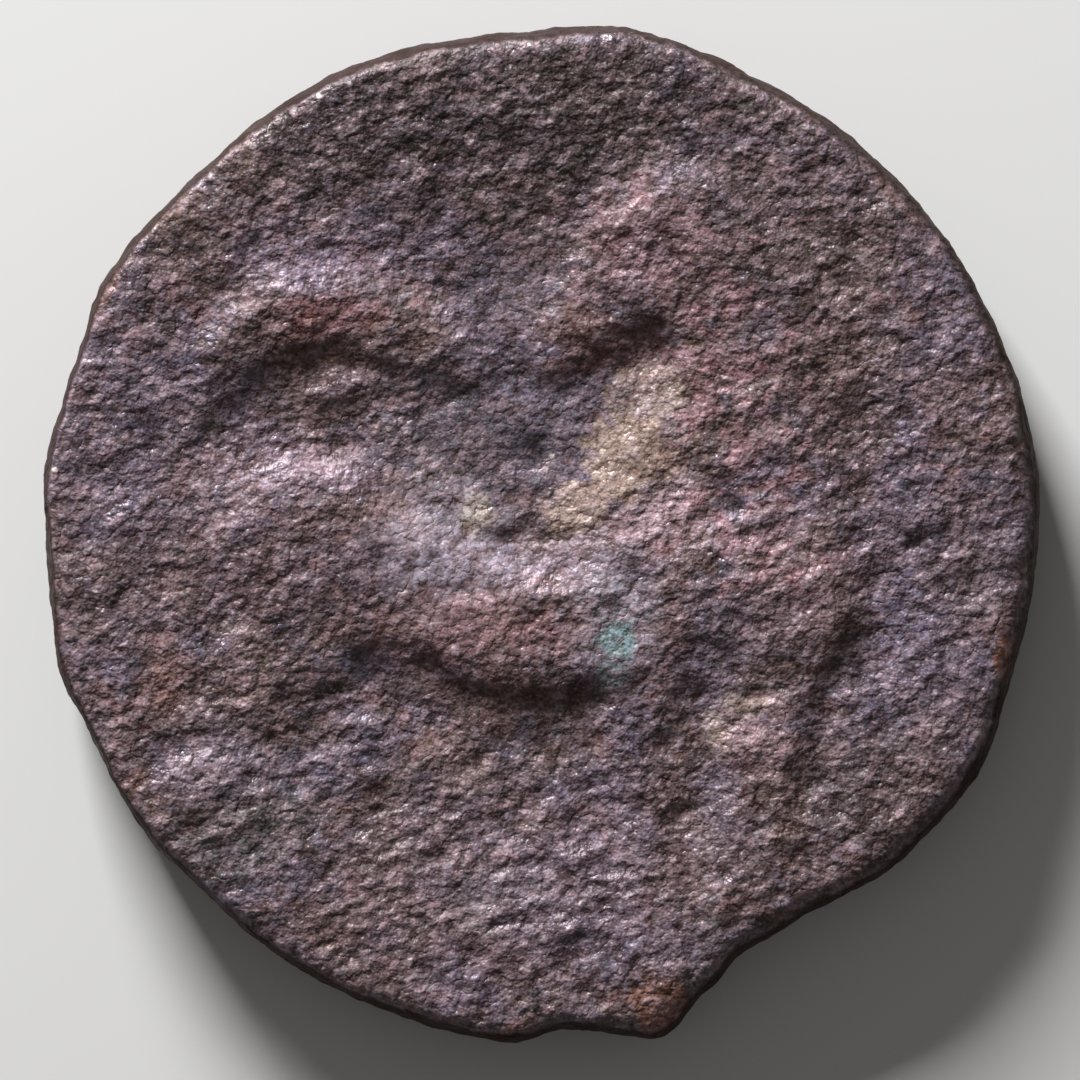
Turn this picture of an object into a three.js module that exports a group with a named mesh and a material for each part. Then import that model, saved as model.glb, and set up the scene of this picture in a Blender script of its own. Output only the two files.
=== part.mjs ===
// A worn ancient bronze shekel, lying flat with its animal side up.
// Millimetres, +Z up. The coin rests on z = 0 and the middle of its box is on the Z axis.
// +Y is the top of the struck design, +X its right.
// The coin is one solid: a hand-cast flan, slightly dished on top, with a rounded edge, a flat
// stretch and a lug where it was cut from its casting strip, and a low struck relief on each side.

import * as THREE from "three";

// The flan
const FLAN_DIAMETER = 24;
const RIM_THICKNESS = 2.25;
const DISH_DEPTH = 0.42;
const DISH_INNER = 0.45; // share of the radius where the field starts to rise
const DISH_OUTER = 0.96; // share of the radius where it meets the rim
const FOOT_INSET = 0.5; // how far the underside's border stays inside the widest outline
const SHOULDER_INSET = 0.3; // the same for the top's border
const SHOULDER_LEAN = 0.12; // added to that on the right side, and taken off on the left

// The edge between the two borders: [inset from the widest outline in millimetres, height as a
// share of the top border's].
const EDGE_PROFILE = [
  [0.1, 0.84],
  [0, 0.45],
  [0.15, 0.16],
];

// How far the edge stands proud of a true circle: [angle from +X in degrees, millimetres].
// The deep stretch from 294 to 310 degrees is the flat cut, the peak at 283 the lug beside it, and
// the step between them a small facet.
const EDGE_KNOTS = [
  [0, -0.09],
  [18, -0.04],
  [34, 0],
  [50, 0.06],
  [60, 0.14],
  [66, 0.13],
  [80, 0.38],
  [93, 0.1],
  [107, 0.2],
  [120, 0.17],
  [135, 0.05],
  [150, 0.24],
  [157, 0.1],
  [165, 0.06],
  [172, 0.14],
  [181, 0],
  [189, 0],
  [196, 0.12],
  [204, -0.06],
  [213, 0.01],
  [226, -0.13],
  [240, -0.02],
  [251, 0.06],
  [260, 0.14],
  [266, 0.24],
  [273, -0.12],
  [278, 0.14],
  [283, 0.42],
  [286, 0.2],
  [288, -0.28],
  [291.5, -0.46],
  [294, -0.88],
  [300, -0.92],
  [306, -0.9],
  [311, -0.66],
  [316, -0.44],
  [323, -0.32],
  [330, -0.12],
  [345, -0.26],
];

// The struck relief. Places and half widths are hundredths of the die's radius, rises are
// hundredths of RELIEF_RISE, and a mark's shoulder starts at PLATEAU of its half width.
const DIE_RADIUS = 12;
const RELIEF_RISE = 0.54;
const PLATEAU = 0.42;
const WEAR_BLEND = 0.1; // how softly two masses run into each other, in millimetres

// A limb is a row of [x, y, half width, rise] that a smooth stroke runs through.
const LIMBS = {
  tail: [
    [-67.2, 28, 8, 32],
    [-60.2, 37.8, 10, 58],
    [-49, 43.8, 11.2, 68],
    [-36.4, 44, 11.3, 66],
    [-24.2, 38.4, 10.2, 66],
    [-15.2, 36, 8.5, 52],
  ],
  thigh: [
    [-43.5, -12, 21.5, 84],
    [-57, -27, 17, 46],
    [-66, -38, 13, 20],
  ],
  farHindLeg: [
    [-32.3, -27.3, 8.5, 20],
    [-39, -45.5, 8, 28],
    [-43.4, -59.6, 7.3, 16],
  ],
  barrel: [
    [-48, -6, 20, 88],
    [-27, -9, 18.5, 84],
    [-5, -20, 18, 100],
    [19.2, -17.2, 18.6, 92],
    [43.4, -11, 22.2, 84],
  ],
  mane: [
    [45.5, -7, 22.2, 84],
    [47.5, 17, 21.8, 76],
    [45.5, 37.4, 20.2, 76],
    [34.3, 55, 18.2, 72],
  ],
  throat: [
    [15, -20, 21, 84],
    [22, -6, 24, 84],
    [31, 11, 24, 78],
    [37, 26, 22, 76],
    [39.5, 43, 18, 74],
  ],
  head: [
    [29.5, 60.5, 17.5, 72],
    [18, 56.8, 16, 76],
    [9.4, 43.8, 11.5, 72],
    [2.2, 36.2, 8.5, 60],
  ],
  nearForeleg: [
    [43, -20, 17, 84],
    [43.5, -38, 14, 62],
    [42.5, -53.5, 11.5, 48],
    [38, -69.7, 10, 36],
    [33, -85.9, 9, 24],
  ],
  farForeleg: [
    [20, -28, 14, 82],
    [20, -40, 13, 62],
    [19.6, -52, 11, 38],
    [19.6, -63.6, 9.7, 28],
    [23.6, -85.9, 9.7, 32],
  ],
};

// A mass is an oval mound: middle, half width, half height, turn in degrees, rise.
const MASSES = {
  hindSwell: { at: [-76, -10], half: [26, 29], turn: 0, rise: 44 },
  rump: { at: [-47, -1], half: [27, 22.5], turn: -6, rise: 98 },
  hock: { at: [-64, -52], half: [16, 15], turn: 0, rise: 56 },
  hindCannon: { at: [-56, -66], half: [18, 17], turn: 0, rise: 30 },
  chest: { at: [46.5, -14], half: [21.8, 21.8], turn: 0, rise: 98 },
  crest: { at: [60, 22], half: [34, 48], turn: 14, rise: 46 },
  shoulder: { at: [33, -10], half: [25, 20], turn: 24, rise: 114 },
  knee: { at: [42, -41], half: [13, 13], turn: 0, rise: 76 },
  cheek: { at: [23.2, 49.5], half: [14, 10.5], turn: 0, rise: 76 },
  loin: { at: [-23.2, 3], half: [19, 16], turn: -20, rise: 44 },
  buttock: { at: [-41, 28.5], half: [14, 8], turn: 10, rise: 36 },
};

// A hollow is an oval sinking below what is around it.
const HOLLOWS = {
  backHollow: { at: [-3.4, 16.2], half: [11, 10], turn: 0, rise: 28 },
  legGap: { at: [32, -44], half: [5, 10], turn: 0, rise: 12 },
  neckCrease: { at: [60.6, 20.8], half: [18, 7], turn: 32, rise: 14 },
  cutFacet: { at: [35, -92], half: [9, 12], turn: -16, rise: 30 },
  lugSlope: { at: [26, -101], half: [13, 9], turn: 0, rise: 30 },
};

// The underside, worn flat where it stood highest, so that the coin lies still.
// The field lies this deep under the flat, and the worn palm and border reach down to it.
const UNDER_DEPTH = 0.34;
const UNDER_BORDER = 0.88; // share of the radius where the border is full
const BOSS_RADIUS = 7.2; // the swelling under the palm
const BOSS_RISE = 0.42;
const PALM_RISE = 0.24;
const PALM_TRUNK = [
  [0, -62, 7, 100],
  [0, -30, 6.5, 100],
  [0, 14, 5.5, 100],
];
const PALM_CROWN = [0, 16]; // where the fronds part
const FROND_COUNT = 7;
const FROND_SPREAD = 118; // degrees from the upright to the lowest frond
const FROND_REACH = 44;
const FROND_DROOP = 15;
const FROND_HALF_WIDTH = 5.4;

// How finely the skin is divided
const TOP_RINGS = 28;
const UNDER_RINGS = 18;
const STROKE_STEPS = 5;

const RADIUS = FLAN_DIAMETER / 2;
const DIE_STEP = DIE_RADIUS / 100;
const FULL_TURN = 2 * Math.PI;

function smoothstep(from, to, value) {
  const share = Math.min(1, Math.max(0, (value - from) / (to - from)));
  return share * share * (3 - 2 * share);
}

// The larger of two heights, with the corner between them rounded off.
function softMax(a, b, blend) {
  const share = Math.min(1, Math.max(0, 0.5 + (0.5 * (a - b)) / blend));
  return b + (a - b) * share + blend * share * (1 - share);
}

// A Catmull-Rom value between b and c, for rows of numbers of any length.
function between(a, b, c, d, t) {
  return b.map(
    (value, i) =>
      0.5 *
      (2 * value +
        (c[i] - a[i]) * t +
        (2 * a[i] - 5 * value + 4 * c[i] - d[i]) * t * t +
        (3 * value - a[i] - 3 * c[i] + d[i]) * t * t * t),
  );
}

// How far the flan's edge is from its centre at an angle in radians, as cast and cut.
function edgeRadius(angle) {
  const degrees = (((angle * 360) / FULL_TURN) % 360 + 360) % 360;
  const count = EDGE_KNOTS.length;
  const knot = (i) => {
    const turns = Math.floor(i / count);
    const [at, proud] = EDGE_KNOTS[i - turns * count];
    return [at + 360 * turns, proud];
  };
  let last = count - 1;
  while (knot(last)[0] > degrees) last -= 1;
  const [start, end] = [knot(last), knot(last + 1)];
  const share = (degrees - start[0]) / (end[0] - start[0]);
  return RADIUS + between(knot(last - 1), start, end, knot(last + 2), share)[1];
}

// A stroke as short straight pieces, in millimetres, with its rise as a share.
function strokePieces(rows) {
  const ahead = rows[0].map((value, i) => 2 * value - rows[1][i]);
  const past = rows.at(-1).map((value, i) => 2 * value - rows.at(-2)[i]);
  const all = [ahead, ...rows, past];
  const line = [];
  for (let i = 1; i < all.length - 2; i += 1)
    for (let step = 0; step < STROKE_STEPS; step += 1)
      line.push(between(all[i - 1], all[i], all[i + 1], all[i + 2], step / STROKE_STEPS));
  line.push(rows.at(-1));
  const points = line.map(([x, y, half, rise]) => [
    x * DIE_STEP,
    y * DIE_STEP,
    half * DIE_STEP,
    rise / 100,
  ]);
  return points.slice(1).map((end, i) => [points[i], end]);
}

// The rise of a stroke over a point, from 0 to 1: flat along the middle, soft at the sides.
function strokeRise(pieces, x, y) {
  let highest = 0;
  for (const [start, end] of pieces) {
    const [dx, dy] = [end[0] - start[0], end[1] - start[1]];
    const along = ((x - start[0]) * dx + (y - start[1]) * dy) / (dx * dx + dy * dy);
    const share = Math.min(1, Math.max(0, along));
    const away = Math.hypot(x - start[0] - dx * share, y - start[1] - dy * share);
    const half = start[2] + (end[2] - start[2]) * share;
    const rise = start[3] + (end[3] - start[3]) * share;
    highest = Math.max(highest, rise * (1 - smoothstep(PLATEAU, 1, away / half)));
  }
  return highest;
}

// The rise of an oval mound or hollow over a point, from 0 to 1.
function ovalRise({ at, half, turn, rise }, plateau, x, y) {
  const angle = THREE.MathUtils.degToRad(turn);
  const [dx, dy] = [x / DIE_STEP - at[0], y / DIE_STEP - at[1]];
  const across = (dx * Math.cos(angle) + dy * Math.sin(angle)) / half[0];
  const up = (dy * Math.cos(angle) - dx * Math.sin(angle)) / half[1];
  return (rise / 100) * (1 - smoothstep(plateau, 1, Math.hypot(across, up)));
}

const limbPieces = Object.values(LIMBS).map(strokePieces);

// The height of the animal side over a point at a share of the way from centre to edge.
function topHeight(x, y, share) {
  let relief = 0;
  for (const pieces of limbPieces)
    relief = softMax(relief, RELIEF_RISE * strokeRise(pieces, x, y), WEAR_BLEND);
  for (const mass of Object.values(MASSES))
    relief = softMax(relief, RELIEF_RISE * ovalRise(mass, PLATEAU, x, y), WEAR_BLEND);
  for (const hollow of Object.values(HOLLOWS))
    relief -= RELIEF_RISE * ovalRise(hollow, 0, x, y);
  const field = RIM_THICKNESS - DISH_DEPTH * (1 - smoothstep(DISH_INNER, DISH_OUTER, share));
  return field + relief;
}

// Drooping fronds, fanned evenly on both sides of the upright.
function frondRows() {
  const fronds = [];
  for (let i = 0; i < FROND_COUNT; i += 1) {
    const lean = THREE.MathUtils.degToRad(FROND_SPREAD * ((2 * i) / (FROND_COUNT - 1) - 1));
    const reach = (share) => [
      PALM_CROWN[0] + Math.sin(lean) * FROND_REACH * share,
      PALM_CROWN[1] + Math.cos(lean) * FROND_REACH * share - FROND_DROOP * share * share,
    ];
    fronds.push([
      [...reach(0), FROND_HALF_WIDTH, 100],
      [...reach(0.5), FROND_HALF_WIDTH, 100],
      [...reach(1), FROND_HALF_WIDTH / 2, 60],
    ]);
  }
  return fronds;
}

const palmPieces = [PALM_TRUNK, ...frondRows()].map(strokePieces);

// The height of the underside: 0 where it is worn flat, UNDER_DEPTH in its field.
function underHeight(x, y, share) {
  const palm = Math.max(...palmPieces.map((pieces) => strokeRise(pieces, x, y)));
  const boss = 1 - smoothstep(0, 1, Math.hypot(x, y) / BOSS_RADIUS);
  const border = smoothstep(DISH_INNER, UNDER_BORDER, share);
  const raised = PALM_RISE * palm + BOSS_RISE * boss + UNDER_DEPTH * border;
  return Math.max(0, UNDER_DEPTH - raised);
}

// How far inside the widest outline the top's border lies at an angle in radians.
function shoulderInset(angle) {
  return SHOULDER_INSET + SHOULDER_LEAN * Math.cos(angle);
}

// A ring of points round the Z axis, at a share of the inset edge, each at its own height.
function ring(count, share, insetAt, heightAt) {
  const points = [];
  for (let i = 0; i < count; i += 1) {
    const angle = (FULL_TURN * i) / count;
    const reach = (edgeRadius(angle) - insetAt(angle)) * share;
    const [x, y] = [reach * Math.cos(angle), reach * Math.sin(angle)];
    points.push([x, y, heightAt(x, y, share)]);
  }
  return points;
}

// The rings from the middle of the top, down over the edge, to the middle of the underside.
function coinRings() {
  const rings = [[[0, 0, topHeight(0, 0, 0)]]];
  for (let i = 1; i <= TOP_RINGS; i += 1)
    rings.push(ring(6 * i, i / TOP_RINGS, shoulderInset, topHeight));
  for (const [inset, share] of EDGE_PROFILE) {
    const height = (x, y) => topHeight(x, y, 1) * share;
    rings.push(ring(6 * TOP_RINGS, 1, () => inset, height));
  }
  for (let i = UNDER_RINGS; i >= 1; i -= 1)
    rings.push(ring(6 * i, i / UNDER_RINGS, () => FOOT_INSET, underHeight));
  rings.push([[0, 0, underHeight(0, 0, 0)]]);
  return rings;
}

// Fills the band between two rings with triangles, taking whichever ring's next point comes
// first. A ring of one point is a pole, and is never stepped along.
function band(first, inner, second, outer) {
  const [innerSteps, outerSteps] = [inner > 1 ? inner : 0, outer > 1 ? outer : 0];
  const faces = [];
  let [i, j] = [0, 0];
  while (i < innerSteps || j < outerSteps) {
    const corners = [first + (i % inner), second + (j % outer)];
    const innerNext = i < innerSteps && (i + 1) / inner < (j + 1) / outer;
    if (j === outerSteps || innerNext) {
      i += 1;
      faces.push(...corners, first + (i % inner));
    } else {
      j += 1;
      faces.push(...corners, second + (j % outer));
    }
  }
  return faces;
}

// The closed skin over all the rings, from pole to pole.
function skin(rings) {
  const faces = [];
  let first = 0;
  for (let k = 0; k < rings.length - 1; k += 1) {
    const second = first + rings[k].length;
    faces.push(...band(first, rings[k].length, second, rings[k + 1].length));
    first = second;
  }
  const geometry = new THREE.BufferGeometry();
  geometry.setAttribute("position", new THREE.Float32BufferAttribute(rings.flat(2), 3));
  geometry.setIndex(faces);
  return geometry;
}

const geometry = skin(coinRings());
geometry.computeBoundingBox();
const middle = geometry.boundingBox.getCenter(new THREE.Vector3());
geometry.translate(-middle.x, -middle.y, 0);
geometry.computeVertexNormals();

const bronze = new THREE.MeshStandardMaterial({
  color: 0x5d4d4f,
  roughness: 0.55,
  metalness: 0.6,
});

const coin = new THREE.Mesh(geometry, bronze);
coin.name = "coin";

const shekel = new THREE.Group();
shekel.add(coin);

export default shekel;
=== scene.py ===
"""A worn ancient bronze shekel that lies animal side up, seen from straight above.

Metres throughout, in the coin's own frame: it lies on z = 0, +Y is the top of the struck design
and +X its right. Places that were read from the photograph are given in its pixels.
"""

import math

import bmesh
import bpy
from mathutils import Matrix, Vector, kdtree


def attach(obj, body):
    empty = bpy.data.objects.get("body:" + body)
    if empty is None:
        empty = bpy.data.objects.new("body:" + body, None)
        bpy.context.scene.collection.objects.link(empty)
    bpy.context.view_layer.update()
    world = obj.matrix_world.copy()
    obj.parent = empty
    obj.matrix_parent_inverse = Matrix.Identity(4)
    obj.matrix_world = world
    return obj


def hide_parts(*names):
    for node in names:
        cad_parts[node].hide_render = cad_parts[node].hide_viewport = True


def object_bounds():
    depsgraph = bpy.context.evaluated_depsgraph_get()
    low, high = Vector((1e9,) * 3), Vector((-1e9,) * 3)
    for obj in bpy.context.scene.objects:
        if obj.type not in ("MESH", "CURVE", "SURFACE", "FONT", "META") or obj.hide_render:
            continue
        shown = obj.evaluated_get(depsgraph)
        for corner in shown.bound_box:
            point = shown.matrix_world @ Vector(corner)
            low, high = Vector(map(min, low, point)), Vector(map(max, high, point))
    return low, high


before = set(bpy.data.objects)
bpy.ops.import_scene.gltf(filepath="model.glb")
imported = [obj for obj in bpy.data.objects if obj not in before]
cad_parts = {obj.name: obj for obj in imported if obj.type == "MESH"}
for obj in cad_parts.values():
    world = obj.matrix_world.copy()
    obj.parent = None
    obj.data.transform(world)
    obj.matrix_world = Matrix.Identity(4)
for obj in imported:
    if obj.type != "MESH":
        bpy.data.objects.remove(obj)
cad_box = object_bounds()

MM = 0.001

# The photograph's frame, 1080 pixels square, and the pixel over the flan's design centre
PHOTO_WIDTH = 1080
FLAN = 24 * MM
PIXEL = 0.02405 * MM
DESIGN_CENTRE = (545, 535)
DESIGN_SHIFT = (0.0719 * MM, -0.0213 * MM)  # from the frame's origin to the design centre

WAIST = 1.0 * MM  # height of the coin's widest outline
WELD = 0.001 * MM  # how near two corners are that count as one


def spot(px, py):
    """The place in the frame, in metres, under a pixel of the photograph."""
    x = (px - DESIGN_CENTRE[0]) * PIXEL + DESIGN_SHIFT[0]
    y = (DESIGN_CENTRE[1] - py) * PIXEL + DESIGN_SHIFT[1]
    return x, y


def pick_only(thing):
    """Deselects everything, then selects one object and makes it active."""
    bpy.ops.object.select_all(action="DESELECT")
    thing.select_set(True)
    bpy.context.view_layer.objects.active = thing


# The coin's mesh


def blank_from_solid(name):
    """A merged copy of the coin's solid, in a new object at the origin."""
    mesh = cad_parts["coin"].data.copy()
    mesh.materials.clear()
    coin = bpy.data.objects.new(name, mesh)
    bpy.context.collection.objects.link(coin)
    pick_only(coin)
    bpy.ops.object.mode_set(mode="EDIT")
    bpy.ops.mesh.select_all(action="SELECT")
    bpy.ops.mesh.remove_doubles(threshold=WELD)
    bpy.ops.object.mode_set(mode="OBJECT")
    return coin


def apply_modifier(thing, kind, **settings):
    """Adds a modifier, sets it and applies it."""
    modifier = thing.modifiers.new(kind.title(), kind)
    for key, value in settings.items():
        setattr(modifier, key, value)
    pick_only(thing)
    bpy.ops.object.modifier_apply(modifier=modifier.name)


# Strokes of the punch and of wear on the top: name, the points each is drawn through, its radius
# in pixels and its depth in millimetres. A negative depth raises the metal.
TOP_STROKES = [
    ("jaw hollow", [(530, 392), (588, 364), (680, 354)], 20, 0.06),
    ("jaw edge", [(578, 330), (636, 322), (680, 323)], 15, -0.06),
    ("cheek hollow", [(612, 262), (648, 256)], 16, 0.03),
    ("head bump", [(706, 258), (718, 266)], 30, -0.05),
    ("back crease", [(478, 541), (540, 539), (598, 534)], 11, 0.06),
    ("back bump", [(508, 428), (522, 436)], 30, -0.075),
    ("back hollow", [(508, 472), (548, 458)], 16, 0.03),
    ("saddle bump", [(486, 522), (500, 524)], 24, -0.04),
    ("flank bump", [(528, 590), (600, 584)], 28, -0.04),
    ("neck bump", [(655, 436), (700, 452)], 24, -0.04),
    ("shoulder bump", [(756, 512), (764, 514)], 26, -0.05),
    ("tail tip hollow", [(252, 384), (216, 440)], 28, 0.04),
    ("under the buttock", [(306, 420), (386, 404)], 22, 0.05),
    ("dock hollow", [(428, 404), (424, 438)], 20, 0.05),
    ("buttock swelling", [(318, 392), (344, 386)], 22, -0.05),
    ("left field ridge", [(118, 514), (196, 508)], 30, -0.04),
    ("left field hollow", [(160, 545), (170, 580)], 30, 0.04),
    ("left field dip", [(228, 656), (242, 652)], 20, 0.03),
    ("rim groove, left", [(262, 238), (216, 300), (186, 344)], 8, 0.035),
    ("jaw's right end", [(652, 314), (688, 320)], 18, -0.04),
    ("belly line", [(424, 668), (470, 690), (540, 701), (604, 698)], 15, 0.045),
    ("hock swelling", [(182, 806), (240, 786)], 22, -0.05),
    ("hock's top", [(152, 744), (214, 738)], 16, 0.04),
    ("leg gap top", [(676, 700), (668, 742)], 20, 0.05),
    ("leg gap bottom", [(676, 812), (684, 846)], 20, 0.05),
    ("knee's right side", [(824, 720), (812, 786)], 20, 0.045),
    ("chest line", [(864, 592), (854, 640), (822, 690)], 17, 0.045),
    ("neck crease", [(880, 416), (866, 438)], 20, 0.03),
    ("right field bump", [(930, 574), (950, 560)], 26, -0.04),
    ("right crevice", [(904, 546), (946, 530)], 7, 0.05),
    ("top crack", [(433, 228), (447, 208)], 7, 0.05),
    ("hind ripple", [(336, 784), (372, 772)], 22, -0.05),
    ("middle ripple", [(448, 792), (492, 782)], 24, -0.06),
    ("fore ripple", [(540, 776), (590, 764)], 20, -0.04),
    ("hind dent", [(360, 824), (418, 792)], 20, 0.025),
    ("middle dent", [(478, 826), (524, 812)], 22, 0.04),
    ("ground ripple, upper", [(500, 892), (602, 852)], 20, -0.04),
    ("ground ripple, lower", [(500, 938), (640, 892)], 22, -0.05),
    ("cut step", [(692, 928), (692, 984)], 9, 0.07),
    ("facet crease", [(727, 928), (752, 914)], 10, 0.05),
    ("lug crease", [(654, 954), (688, 959)], 8, 0.05),
    ("lug ridge", [(592, 1016), (622, 995)], 9, -0.05),
    ("shoulder ridge", [(616, 556), (652, 530), (702, 500)], 26, -0.07),
    ("foreleg ripple, upper", [(620, 738), (640, 766)], 13, -0.05),
    ("foreleg ripple, lower", [(654, 808), (702, 790)], 12, -0.06),
    ("knee", [(756, 748), (790, 748)], 28, -0.06),
    ("knee's upper side", [(700, 694), (790, 690)], 13, 0.05),
    ("ground ripple, fine", [(566, 856), (604, 846)], 10, -0.05),
    ("ground ripple, bright", [(598, 880), (656, 872)], 10, -0.07),
    ("low ripple, first", [(378, 858), (432, 842)], 14, -0.04),
    ("low ripple, second", [(466, 918), (540, 898)], 13, -0.05),
    ("low ripple, third", [(498, 946), (572, 930)], 13, -0.05),
    ("low ripple, fourth", [(328, 914), (384, 900)], 14, -0.04),
    ("low dent", [(466, 846), (524, 834)], 14, 0.04),
    ("shin ripple", [(756, 842), (792, 832)], 10, -0.04),
    ("cannon ripple", [(738, 790), (772, 776)], 10, -0.04),
    ("field ripple, right", [(856, 472), (904, 448)], 12, -0.04),
    ("field ripple, upper", [(846, 322), (896, 288)], 12, -0.04),
    ("ochre crust, upper", [(612, 398), (654, 392)], 26, -0.04),
    ("ochre crust, lower", [(628, 450), (572, 508)], 26, -0.05),
    ("ochre border", [(597, 524), (622, 508), (648, 478)], 8, 0.05),
]
STROKE_STEP = 4  # pixels between the points that a stroke is worked out at


def stroke_points(corners):
    """Evenly spaced points, in pixels, along the line through a stroke's corners."""
    points = [corners[0]]
    for (x0, y0), (x1, y1) in zip(corners, corners[1:]):
        steps = max(1, round(math.dist((x0, y0), (x1, y1)) / STROKE_STEP))
        for i in range(1, steps + 1):
            points.append((x0 + (x1 - x0) * i / steps, y0 + (y1 - y0) * i / steps))
    return points


def work_strokes(thing, strokes):
    """Presses or raises the top along each stroke, with a soft edge."""
    top = [vertex for vertex in thing.data.vertices if vertex.normal.z > 0]
    tree = kdtree.KDTree(len(top))
    for vertex in top:
        tree.insert((vertex.co.x, vertex.co.y, 0), vertex.index)
    tree.balance()
    pick_only(thing)
    bpy.ops.object.mode_set(mode="EDIT")
    mesh = bmesh.from_edit_mesh(thing.data)
    mesh.verts.ensure_lookup_table()
    for _, corners, radius, depth in strokes:
        bpy.ops.mesh.select_all(action="DESELECT")
        for point in stroke_points(corners):
            nearest = tree.find((*spot(*point), 0))[1]
            mesh.verts[nearest].select = True
        mesh.select_flush_mode()
        bpy.ops.transform.translate(
            value=(0, 0, -depth * MM),
            use_proportional_edit=True,
            proportional_edit_falloff="SMOOTH",
            proportional_size=radius * PIXEL,
        )
    bpy.ops.object.mode_set(mode="OBJECT")


# Corrosion in the mesh: name, size of its largest lumps, how many halvings, depth, in millimetres
CORROSION = [
    ("flan_swell", 2.6, 1, 0.09),
    ("corroded_lumps", 0.8, 3, 0.17),
]


def corrode(thing, name, size, halvings, depth):
    """Raises and sinks the surface by cloudy noise."""
    clouds = bpy.data.textures.new(name, "CLOUDS")
    clouds.noise_scale = size * MM
    clouds.noise_depth = halvings
    apply_modifier(
        thing, "DISPLACE", texture=clouds, texture_coords="LOCAL", strength=depth * MM, mid_level=0.5
    )


FIT = 0.9995  # share of the solid's box that the finished coin fills


def fit_to_solid(thing):
    """Brings the coin back to the box of its solid, which smoothing and corrosion leave a little."""
    corners = [vertex.co for vertex in thing.data.vertices]
    for axis in range(3):
        low, high = min(c[axis] for c in corners), max(c[axis] for c in corners)
        thing.scale[axis] = FIT * (cad_box[1][axis] - cad_box[0][axis]) / (high - low)
        thing.location[axis] = cad_box[0][axis] - low * thing.scale[axis]
    pick_only(thing)
    bpy.ops.object.transform_apply(location=True, rotation=True, scale=True)


def struck_coin():
    """The coin with its fine relief, dents and grain."""
    coin = blank_from_solid("struck_coin")
    apply_modifier(coin, "SUBSURF", levels=2, render_levels=2)
    apply_modifier(coin, "SMOOTH", factor=0.5, iterations=6)
    work_strokes(coin, TOP_STROKES)
    for layer in CORROSION:
        corrode(coin, *layer)
    fit_to_solid(coin)
    pick_only(coin)
    bpy.ops.object.shade_smooth()
    return coin


# Materials

SOFT = (1.15, 0.35)  # where a patch's border starts and ends, in shares of its half sizes
CRISP = (1.05, 0.8)
REACH = 3.0  # as far as a patch is worked out, in the same shares


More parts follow.
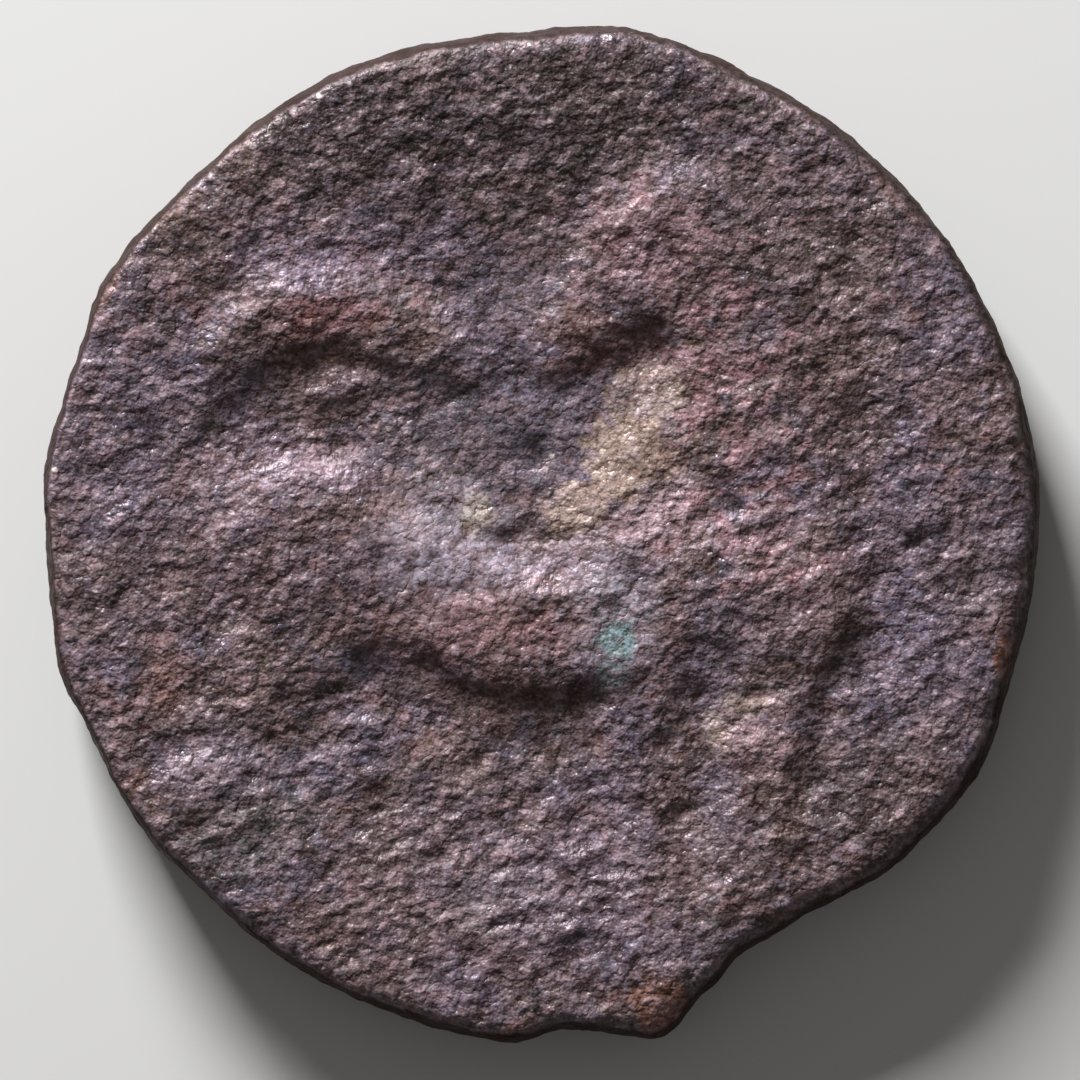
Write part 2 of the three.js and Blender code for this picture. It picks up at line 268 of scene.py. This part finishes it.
class Patina:
    """Adds linked shader nodes to one material, left to right."""

    def __init__(self, name):
        self.material = bpy.data.materials.new(name)
        self.material.use_nodes = True
        self.tree = self.material.node_tree
        self.shader = self.tree.nodes["Principled BSDF"]
        self.place = self.tree.nodes.new("ShaderNodeTexCoord").outputs["Object"]

    def feed(self, socket, value):
        """Links an output into a socket, or sets it to a plain value."""
        if isinstance(value, bpy.types.NodeSocket):
            self.tree.links.new(value, socket)
        else:
            socket.default_value = value

    def maths(self, operation, first, second=0.0):
        """The result of one sum with two outputs or numbers."""
        node = self.tree.nodes.new("ShaderNodeMath")
        node.operation = operation
        self.feed(node.inputs[0], first)
        self.feed(node.inputs[1], second)
        return node.outputs[0]

    def ramp(self, value, low, high, full=1.0):
        """0 below low, full above high, smooth between; the smooth step needs no clamp."""
        node = self.tree.nodes.new("ShaderNodeMapRange")
        node.interpolation_type = "SMOOTHSTEP"
        node.clamp = False
        self.feed(node.inputs["Value"], value)
        node.inputs["From Min"].default_value = low
        node.inputs["From Max"].default_value = high
        node.inputs["To Max"].default_value = full
        return node.outputs["Result"]

    def drawn_out(self, angle, stretch):
        """The object's coordinates, stretched along a direction in the coin's plane."""
        node = self.tree.nodes.new("ShaderNodeMapping")
        node.vector_type = "TEXTURE"
        self.feed(node.inputs["Vector"], self.place)
        node.inputs["Rotation"].default_value = (0, 0, math.radians(angle))
        node.inputs["Scale"].default_value = (stretch, 1, 1)
        return node.outputs["Vector"]

    def noise(self, size, where=None, detail=2.0, rough=0.5):
        """Cloudy noise with lumps of about the given size."""
        node = self.tree.nodes.new("ShaderNodeTexNoise")
        self.feed(node.inputs["Vector"], where or self.place)
        node.inputs["Scale"].default_value = 1 / size
        node.inputs["Detail"].default_value = detail
        node.inputs["Roughness"].default_value = rough
        return node.outputs["Fac"]

    def pebbles(self, size, where):
        """Rounded grains: how far each point is from its grain's middle, squared, and a chance
        value for each grain."""
        node = self.tree.nodes.new("ShaderNodeTexVoronoi")
        node.feature = "F1"
        self.feed(node.inputs["Vector"], where)
        node.inputs["Scale"].default_value = 1 / size
        split = self.tree.nodes.new("ShaderNodeSeparateColor")
        self.feed(split.inputs[0], node.outputs["Color"])
        return self.maths("POWER", node.outputs["Distance"], 2.0), split.outputs[0]

    def stirred(self, size, reach):
        """The object's coordinates, pushed about by noise."""
        node = self.tree.nodes.new("ShaderNodeTexNoise")
        self.feed(node.inputs["Vector"], self.place)
        node.inputs["Scale"].default_value = 1 / size
        push = self.tree.nodes.new("ShaderNodeVectorMath")
        push.operation = "MULTIPLY_ADD"
        self.feed(push.inputs[0], node.outputs["Color"])
        push.inputs[1].default_value = (reach, reach, reach)
        self.feed(push.inputs[2], self.place)
        return push.outputs["Vector"]

    def mix(self, share, first, second, how="MIX"):
        """A colour between two colours, or the first one changed by the second."""
        node = self.tree.nodes.new("ShaderNodeMix")
        node.data_type = "RGBA"
        node.blend_type = how
        self.feed(node.inputs["Factor"], share)
        self.feed(node.inputs["A"], first)
        self.feed(node.inputs["B"], second)
        return node.outputs["Result"]

    def patch(self, middle, half, turn, ragged, full, border=SOFT):
        """Full at the middle of a patch, falling to 0 across its ragged border, which lies
        between two shares of its half sizes."""
        node = self.tree.nodes.new("ShaderNodeTexGradient")
        node.gradient_type = "SPHERICAL"
        node.texture_mapping.vector_type = "TEXTURE"
        node.texture_mapping.translation = (*spot(*middle), 0)
        node.texture_mapping.rotation = (0, 0, math.radians(turn))
        sizes = (half[0] * PIXEL, half[1] * PIXEL, FLAN)
        node.texture_mapping.scale = tuple(REACH * size for size in sizes)
        self.feed(node.inputs["Vector"], self.place)
        start, end = (1 - share / REACH for share in border)
        near = self.maths("SUBTRACT", node.outputs["Fac"], ragged)
        return self.ramp(near, start, end, full)

    def widest(self, patches, ragged):
        """The fullest of several patches at each point."""
        fullest = 0.0
        for _, middle, half, turn, share in patches:
            here = self.patch(middle, half, turn, ragged, share)
            fullest = self.maths("MAXIMUM", fullest, here)
        return fullest

    def facing_up(self):
        """How far the surface faces up: 1 on the flat, 0 on an upright wall."""
        geometry = self.tree.nodes.new("ShaderNodeNewGeometry")
        split = self.tree.nodes.new("ShaderNodeSeparateXYZ")
        self.feed(split.inputs[0], geometry.outputs["Normal"])
        return split.outputs["Z"]

    def tinted(self, body, layers, tints):
        """A colour changed by tints, each where one of the layers is high or low."""
        for layer, low, high, share, colour, how in tints:
            body = self.mix(self.ramp(layers[layer], low, high, share), body, tone(*colour), how)
        return body

    def bump(self, height, depth, normal=None, strength=1.0):
        """The surface's normal, tilted by a height."""
        node = self.tree.nodes.new("ShaderNodeBump")
        self.feed(node.inputs["Height"], height)
        self.feed(node.inputs["Strength"], strength)
        node.inputs["Distance"].default_value = depth
        if normal:
            self.feed(node.inputs["Normal"], normal)
        return node.outputs["Normal"]


def tone(red, green, blue):
    """A colour as read off a screen, 0 to 255, as the shader's linear values."""
    return (*[((c / 255 + 0.055) / 1.055) ** 2.4 for c in (red, green, blue)], 1)


# The grain: lumps, drawn out a little to the upper right, ripples, rounded pebbles, a fine tooth
LUMP_SIZE = 0.25 * MM
DRAWN_SIZE = 0.4 * MM
DRAWN_TURN = 22
DRAWN_STRETCH = 1.6
LUMP_DEPTH = 0.18 * MM
RIPPLE_SIZE = 0.5 * MM
RIPPLE_TURN = 14
RIPPLE_STRETCH = 2.4
RIPPLE_DEPTH = 0.14 * MM
PEBBLE_SIZE = 0.22 * MM
PEBBLE_DEPTH = 0.03 * MM
STIR_SIZE = 0.22 * MM  # the noise that pushes the pebbles about, and how far it does
STIR_REACH = 0.34 * MM
TOOTH_SIZE = 0.08 * MM
TOOTH_DEPTH = 0.007 * MM

# The patina's clouds, from broad to fine, and how far they break up a patch's border
CLOUD_SIZE = 2.6 * MM
MOTTLE_SIZE = 0.9 * MM
FLECK_SIZE = 0.5 * MM
BLOTCH_SIZE = 0.62 * MM
BLOTCH_TURN = 30
BLOTCH_STRETCH = 1.3
RAGGED = 1.6
BLOTCHY = 7.0
BLOTCH_LEVEL = 0.44

BROWN = (108, 87, 81)
VIOLET = (108, 95, 113)
SPECK = (214, 200, 196)
WALL = (58, 45, 41)

# Tints: the layer they follow, its values where they start and are full, share, colour, way
CLOUD_TINTS = [
    ("mottle", 0.54, 0.68, 0.7, (136, 96, 97), "MIX"),
    ("mottle", 0.46, 0.32, 0.6, (86, 84, 105), "MIX"),
    ("fleck", 0.44, 0.3, 0.55, (88, 76, 56), "MIX"),
    ("fleck", 0.56, 0.68, 0.55, (110, 105, 122), "MIX"),
]
PEBBLE_TINTS = [
    ("chance", 0.6, 0.95, 0.35, (150, 122, 130), "MIX"),
    ("chance", 0.4, 0.1, 0.35, (72, 60, 60), "MIX"),
]
GRAIN_TINTS = [
    ("lumps", 0.5, 0.38, 0.8, (170, 148, 140), "MULTIPLY"),
    ("lumps", 0.52, 0.64, 0.4, (176, 152, 162), "MIX"),
    ("tooth", 0.5, 0.2, 1.0, (170, 160, 156), "MULTIPLY"),
    ("tooth", 0.5, 0.8, 0.3, (182, 170, 176), "MIX"),
    ("hollow", 0.1, 0.4, 0.4, (150, 128, 118), "MULTIPLY"),
]

# The wall's even brown: how steep it starts and is full, its share, and what it adds
WALL_START = 0.85
WALL_FULL = 0.45
WALL_SHARE = 0.9
WALL_METAL = 0.8
WALL_ROUGHNESS = 0.3
TOP_METAL = 0.15
TOP_ROUGHNESS = 0.04

# Soft stains in the patina, with painted shade over the top of the field and under the tail, jaw,
# belly and chest, and painted highlights on the tail, rump, back and shoulder: name, middle and
# half sizes in pixels, turn, colour, share at its middle
STAINS = [
    # painted shade: the upper field darker
    ("shaded upper field", (510, 112), (370, 124), 0, (54, 42, 41), 0.75),
    # painted shade: the upper right field darker
    ("shaded right field", (800, 230), (160, 120), -40, (78, 62, 64), 0.55),
    ("left field blue", (130, 470), (110, 190), 0, (100, 88, 105), 0.5),
    ("lower field lavender", (520, 890), (260, 120), 10, (120, 100, 112), 0.5),
    ("hock lavender", (215, 755), (80, 60), 0, (102, 92, 112), 0.5),
    # painted highlight along the tail's lit top edge
    ("tail highlight", (320, 274), (110, 34), 6, (142, 125, 146), 0.5),
    # painted highlight on the rump's lit slope
    ("rump highlight", (300, 470), (110, 34), -4, (158, 138, 158), 0.5),
    ("rump warmth", (300, 560), (110, 60), 0, (106, 86, 92), 0.5),
    # painted highlight on the back's lit slope
    ("back highlight", (550, 574), (120, 28), -8, (156, 138, 160), 0.5),
    # painted highlight on the shoulder's lit slope
    ("shoulder highlight", (664, 524), (70, 40), 32, (196, 168, 180), 0.68),
    ("saddle blue", (448, 556), (80, 88), -20, (178, 169, 187), 0.7),
    ("hollow blue", (480, 430), (110, 90), 20, (99, 95, 112), 0.6),
    ("upper hollow blue", (524, 280), (60, 86), -10, (104, 97, 113), 0.5),
    ("small ochre spot", (479, 514), (22, 25), 0, (208, 196, 184), 0.7),
    ("teal halo", (614, 616), (46, 76), 0, (174, 169, 185), 0.65),
    ("leg blue", (754, 620), (74, 46), -10, (88, 82, 93), 0.45),
    ("lower left green", (250, 830), (90, 60), 20, (110, 111, 112), 0.45),
    ("right field blue", (930, 640), (100, 160), 0, (112, 100, 119), 0.5),
    ("lower right dusk", (850, 780), (110, 100), 40, (74, 61, 64), 0.6),
    ("lower field dusk", (410, 838), (90, 54), 8, (82, 68, 73), 0.45),
    ("knee ochre, left", (716, 738), (16, 30), 10, (150, 132, 116), 0.55),
    ("knee ochre, top", (746, 704), (30, 17), -10, (178, 158, 146), 0.6),
    ("knee pink", (764, 742), (46, 48), 0, (172, 140, 147), 0.55),
    ("shin olive", (786, 812), (34, 58), 0, (100, 80, 62), 0.6),
    ("crest brown", (800, 245), (90, 66), -30, (90, 73, 66), 0.55),
    ("neck's right brown", (836, 432), (66, 66), -30, (94, 69, 64), 0.5),
    ("head pink", (650, 240), (80, 60), 0, (158, 124, 131), 0.5),
    ("flank red", (470, 630), (140, 46), 0, (155, 115, 115), 0.55),
    # painted shade under the belly, browned like soil
    ("belly shade", (500, 690), (170, 32), 2, (84, 60, 48), 0.7),
    # painted shade under the tail, browned like soil
    ("tail shade", (320, 352), (140, 40), 0, (92, 70, 60), 0.65),
    # painted shade under the jaw, browned like soil
    ("jaw shade", (612, 346), (100, 44), -16, (108, 73, 63), 0.68),
    ("chest warmth", (790, 590), (90, 70), 0, (150, 123, 129), 0.55),
    # painted shade along the chest's right side, browned like soil
    ("chest shade", (846, 640), (30, 80), -16, (82, 66, 62), 0.5),
    ("tail red", (324, 316), (70, 24), 0, (150, 98, 98), 0.6),
    ("right field violet", (905, 615), (40, 74), 0, (112, 104, 132), 0.5),
    ("lower field violet", (318, 765), (54, 34), 10, (100, 94, 120), 0.55),
    ("middle ground grey", (490, 900), (80, 44), 10, (108, 104, 113), 0.4),
    ("low brown, left", (310, 920), (64, 32), -20, (112, 84, 72), 0.5),
    ("low brown, right", (826, 872), (80, 34), -32, (106, 78, 68), 0.5),
    ("leg gap brown", (674, 790), (30, 96), -6, (100, 76, 70), 0.5),
    ("cannon violet", (722, 824), (26, 76), 4, (112, 102, 120), 0.5),
    ("left field rust", (164, 678), (28, 46), 10, (164, 122, 116), 0.5),
    # painted shade: the upper left field darker
    ("shaded upper left", (336, 156), (90, 40), 36, (54, 43, 47), 0.5),
    ("below the tail", (344, 388), (50, 26), 6, (142, 124, 138), 0.5),
    ("right rim grey", (988, 560), (22, 90), 0, (138, 120, 130), 0.5),
    ("facet grey", (714, 958), (34, 48), 0, (116, 108, 112), 0.6),
]

# Mineral crusts with crisper borders, in the same form
CRUSTS = [
    ("ochre, upper", (644, 395), (44, 36), 10, (165, 145, 137), 0.6),
    ("ochre, middle", (622, 460), (38, 48), -30, (172, 150, 137), 0.75),
    ("ochre, lower", (578, 506), (40, 28), 30, (178, 156, 146), 0.8),
    ("ochre, right", (672, 462), (22, 14), 0, (164, 138, 132), 0.6),
    ("teal", (619, 640), (22, 20), -30, (116, 158, 162), 0.7),
    ("teal, lower", (610, 672), (16, 16), 0, (120, 140, 146), 0.5),
    ("lug rust", (659, 1004), (36, 28), 0, (134, 90, 72), 0.75),
    ("left rim rust", (104, 290), (12, 40), -25, (122, 84, 70), 0.55),
    ("upper right rim rust", (900, 196), (14, 46), 38, (108, 80, 70), 0.55),
    ("right rim rust", (1006, 655), (16, 24), 0, (168, 112, 86), 0.65),
    ("lower left rim rust", (132, 788), (9, 24), -30, (126, 90, 74), 0.5),
]

# Smoother parts, where the metal is rubbed or crusted over: name, middle and half sizes in pixels,
# turn, and share at the middle
CALM = [
    ("saddle", (440, 550), (100, 110), -20, 0.6),
    ("hollow", (500, 420), (100, 80), 20, 0.35),
    ("upper hollow", (520, 290), (60, 90), 0, 0.4),
    ("ochre", (610, 450), (50, 90), -35, 0.45),
    ("teal", (618, 640), (50, 70), 0, 0.4),
    ("back", (560, 570), (120, 34), -8, 0.3),
]

# Rippled parts, in the form of the smoother ones
RIPPLED = [
    ("lower field", (500, 880), (330, 140), 0, 0.9),
    ("lower left field", (250, 800), (170, 120), 30, 0.6),
    ("shoulder", (720, 560), (170, 120), 20, 0.5),
]

# Blotchy blushes, in the form of the stains
BLUSHES = [
    ("neck blush", (728, 400), (74, 160), 6, (188, 140, 151), 0.48),
    ("shoulder blush", (760, 530), (100, 70), 20, (170, 130, 138), 0.42),
    ("flank blush", (460, 620), (150, 50), 0, (162, 122, 125), 0.38),
    ("head blush", (650, 250), (90, 60), 0, (164, 128, 138), 0.4),
    ("left blush", (230, 560), (120, 110), 0, (138, 106, 107), 0.38),
]

# Tiny bright mineral specks: place in pixels
SPECKS = [(552, 456), (320, 98), (57, 470)]
SPECK_SIZE = 3.6
SPECK_SHARE = 0.75


def bronze_patina():
    """Grainy purple-grey bronze, darker in its hollows, with stains, mineral crusts, painted shade
    and painted highlights.
    """
    patina = Patina("bronze_patina")
    slanted = patina.noise(DRAWN_SIZE, patina.drawn_out(DRAWN_TURN, DRAWN_STRETCH), detail=1)
    lumps = patina.maths("MULTIPLY", patina.maths("ADD", patina.noise(LUMP_SIZE), slanted), 0.5)
    ripples = patina.noise(RIPPLE_SIZE, patina.drawn_out(RIPPLE_TURN, RIPPLE_STRETCH), detail=1)
    hollow, chance = patina.pebbles(PEBBLE_SIZE, patina.stirred(STIR_SIZE, STIR_REACH))
    tooth = patina.noise(TOOTH_SIZE, detail=1)
    mottle = patina.noise(MOTTLE_SIZE, detail=3, rough=0.6)
    cloud = patina.noise(CLOUD_SIZE, detail=3, rough=0.6)
    fleck = patina.noise(FLECK_SIZE, detail=3, rough=0.6)
    streaked = patina.drawn_out(BLOTCH_TURN, BLOTCH_STRETCH)
    blotch = patina.noise(BLOTCH_SIZE, streaked, detail=3, rough=0.6)
    ragged = patina.maths("MULTIPLY", patina.maths("SUBTRACT", fleck, 0.5), RAGGED / REACH)
    blotchy = patina.maths("SUBTRACT", blotch, BLOTCH_LEVEL)
    blotchy = patina.maths("MULTIPLY", blotchy, BLOTCHY / REACH)
    layers = {
        "mottle": mottle,
        "fleck": fleck,
        "chance": chance,
        "lumps": lumps,
        "tooth": tooth,
        "hollow": hollow,
    }
    body = patina.mix(patina.ramp(cloud, 0.35, 0.65), tone(*BROWN), tone(*VIOLET))
    body = patina.tinted(body, layers, CLOUD_TINTS)
    # stains, with painted shade and painted highlights among them
    for _, middle, half, turn, colour, share in STAINS:
        body = patina.mix(patina.patch(middle, half, turn, ragged, share), body, tone(*colour))
    for _, middle, half, turn, colour, share in BLUSHES:
        body = patina.mix(patina.patch(middle, half, turn, blotchy, share), body, tone(*colour))
    body = patina.tinted(body, layers, PEBBLE_TINTS)
    for _, middle, half, turn, colour, share in CRUSTS:
        mask = patina.patch(middle, half, turn, ragged, share, CRISP)
        body = patina.mix(mask, body, tone(*colour))
    body = patina.tinted(body, layers, GRAIN_TINTS)
    for place in SPECKS:
        speck = patina.patch(place, (SPECK_SIZE, SPECK_SIZE), 0, 0.0, SPECK_SHARE)
        body = patina.mix(speck, body, tone(*SPECK))
    wall = patina.ramp(patina.facing_up(), WALL_START, WALL_FULL, WALL_SHARE)
    patina.feed(patina.shader.inputs["Base Color"], patina.mix(wall, body, tone(*WALL)))
    metal = patina.maths("ADD", patina.maths("MULTIPLY", wall, WALL_METAL), TOP_METAL)
    patina.feed(patina.shader.inputs["Metallic"], metal)
    matt = patina.maths("ADD", mottle, patina.maths("MULTIPLY", wall, WALL_ROUGHNESS))
    matt = patina.maths("ADD", matt, TOP_ROUGHNESS)
    patina.feed(patina.shader.inputs["Roughness"], matt)
    rough = patina.maths("SUBTRACT", 1.0, patina.widest(CALM, ragged))
    skin = patina.bump(ripples, RIPPLE_DEPTH, strength=patina.widest(RIPPLED, ragged))
    skin = patina.bump(lumps, LUMP_DEPTH, skin, rough)
    skin = patina.bump(hollow, -PEBBLE_DEPTH, skin)
    patina.feed(patina.shader.inputs["Normal"], patina.bump(tooth, TOOTH_DEPTH, skin))
    return patina.material


FLOOR_GREY = 0.7
FLOOR_ROUGHNESS = 0.9


def pale_floor_finish():
    """Plain matt white for the floor."""
    floor = bpy.data.materials.new("pale_floor")
    floor.use_nodes = True
    shader = floor.node_tree.nodes["Principled BSDF"]
    shader.inputs["Base Color"].default_value = (FLOOR_GREY, FLOOR_GREY, FLOOR_GREY, 1)
    shader.inputs["Roughness"].default_value = FLOOR_ROUGHNESS
    return floor


# The studio

FLOOR_SIZE = 0.8
LAMP_REACH = 0.3
VIEW_REACH = 0.3
SENSOR = 36.0
NEAREST = 0.01  # nearer than this the camera sees nothing


def studio_floor():
    """A plain pale floor under the coin."""
    bpy.ops.mesh.primitive_plane_add(size=FLOOR_SIZE)
    floor = bpy.context.active_object
    floor.name = "floor"
    floor.data.materials.append(pale_floor_finish())


def soft_lamp(name, azimuth, elevation, size, power):
    """A square area lamp that looks at the coin from an azimuth (from +X) and elevation."""
    around, up = math.radians(azimuth), math.radians(elevation)
    aim = Vector((math.cos(around) * math.cos(up), math.sin(around) * math.cos(up), math.sin(up)))
    light = bpy.data.lights.new(name, "AREA")
    light.size = size
    light.energy = power
    lamp = bpy.data.objects.new(name, light)
    bpy.context.collection.objects.link(lamp)
    lamp.location = aim * LAMP_REACH
    lamp.rotation_euler = aim.to_track_quat("Z", "Y").to_euler()


def studio_world(strength, colour):
    """Even, faintly warm light from all round."""
    world = bpy.data.worlds.new("studio")
    world.use_nodes = True
    background = world.node_tree.nodes["Background"]
    background.inputs["Color"].default_value = (*colour, 1)
    background.inputs["Strength"].default_value = strength
    bpy.context.scene.world = world


def photo_camera():
    """Straight down over the middle of the photograph, with its width of view."""
    data = bpy.data.cameras.new("camera")
    data.sensor_width = SENSOR
    data.lens = SENSOR * VIEW_REACH / (PHOTO_WIDTH * PIXEL)
    data.clip_start = NEAREST
    camera = bpy.data.objects.new("camera", data)
    bpy.context.collection.objects.link(camera)
    camera.location = (*spot(PHOTO_WIDTH / 2, PHOTO_WIDTH / 2), WAIST + VIEW_REACH)
    bpy.context.scene.camera = camera


coin = struck_coin()
coin.data.materials.append(bronze_patina())
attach(coin, "root")
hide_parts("coin")

studio_floor()
soft_lamp("key", azimuth=113, elevation=18, size=0.1, power=2.6)
studio_world(strength=0.14, colour=(1.0, 0.95, 0.9))
photo_camera()
bpy.context.scene.view_settings.view_transform = "Standard"
